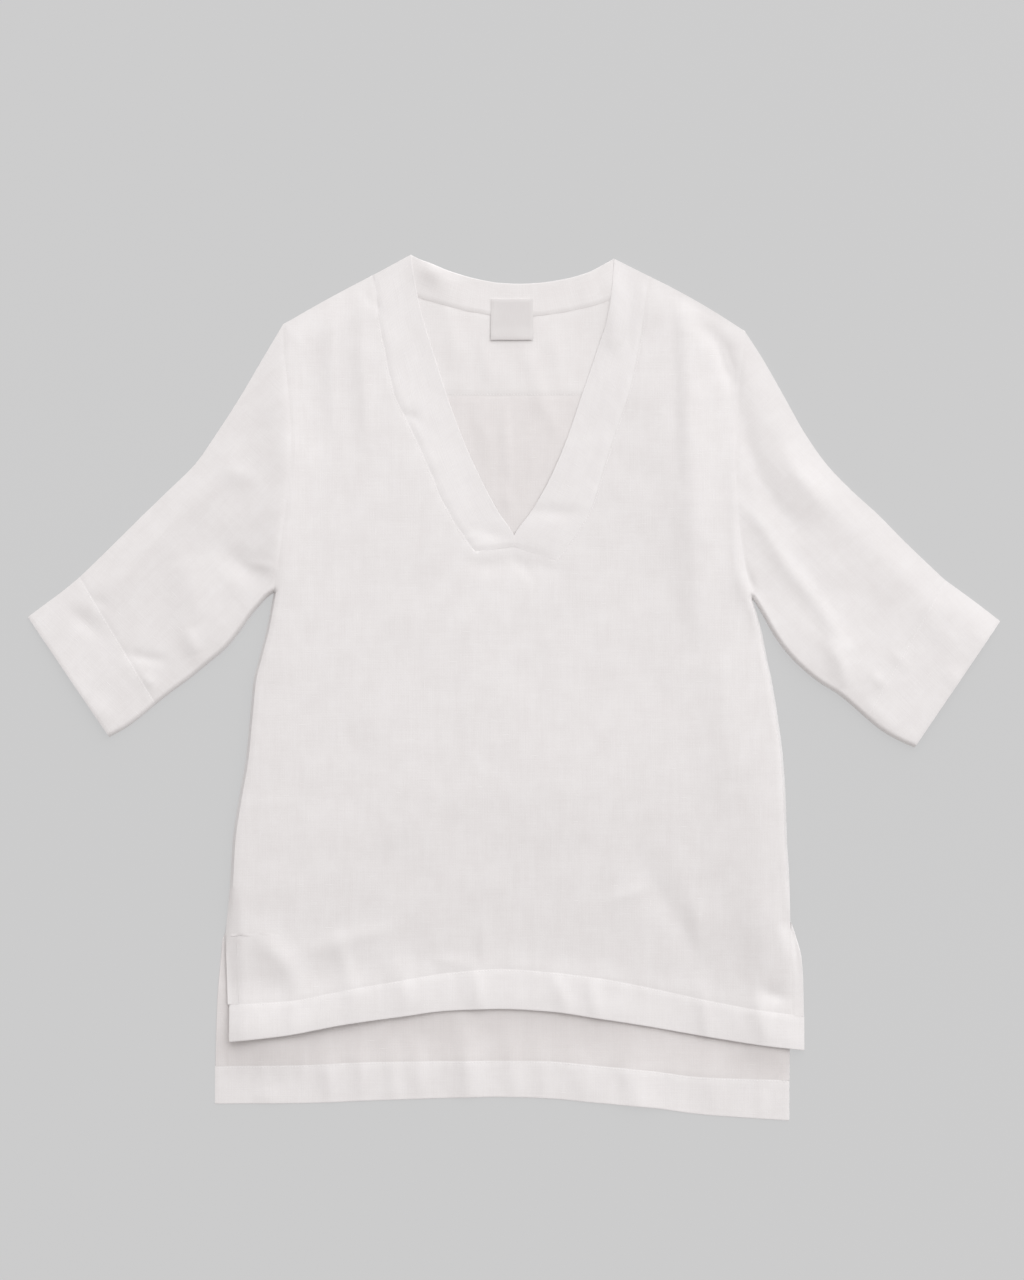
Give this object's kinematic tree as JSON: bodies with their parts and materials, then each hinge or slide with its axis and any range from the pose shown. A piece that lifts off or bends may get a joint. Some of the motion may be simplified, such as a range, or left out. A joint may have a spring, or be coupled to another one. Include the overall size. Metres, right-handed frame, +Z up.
{
  "type": "tunic top",
  "caption": "White linen tunic top with a banded V neck, elbow-length sleeves with deep cuffs, side slits and a longer back hem, laid flat with its front up.",
  "frame": {"origin": "middle of the tunic's outline, on the surface that it lies on", "axes": "+Z up out of the front, +Y towards the neck, +X to the right as seen from above with the neck away"},
  "size_m": [0.9234, 0.8225, 0.0109],
  "materials": {
    "white_linen": "plain weave linen, matt, with slubs",
    "white_linen_inside": "inner side of the linen, matt",
    "woven_label": "woven ribbon, blank, slightly satin"
  },
  "bodies": {
    "root": {"front_panel": "white_linen", "back_panel": "white_linen_inside", "back_yoke": "white_linen_inside", "neckband_left": "white_linen", "neckband_right": "white_linen", "neckband_back": "white_linen", "sleeve_left": "white_linen", "sleeve_right": "white_linen", "cuff_left": "white_linen", "cuff_right": "white_linen", "front_hem": "white_linen", "back_hem": "white_linen_inside", "slit_hem_front_left": "white_linen", "slit_hem_front_right": "white_linen", "slit_hem_back_left": "white_linen_inside", "slit_hem_back_right": "white_linen_inside", "neck_label": "woven_label"}
  },
  "joints": []
}
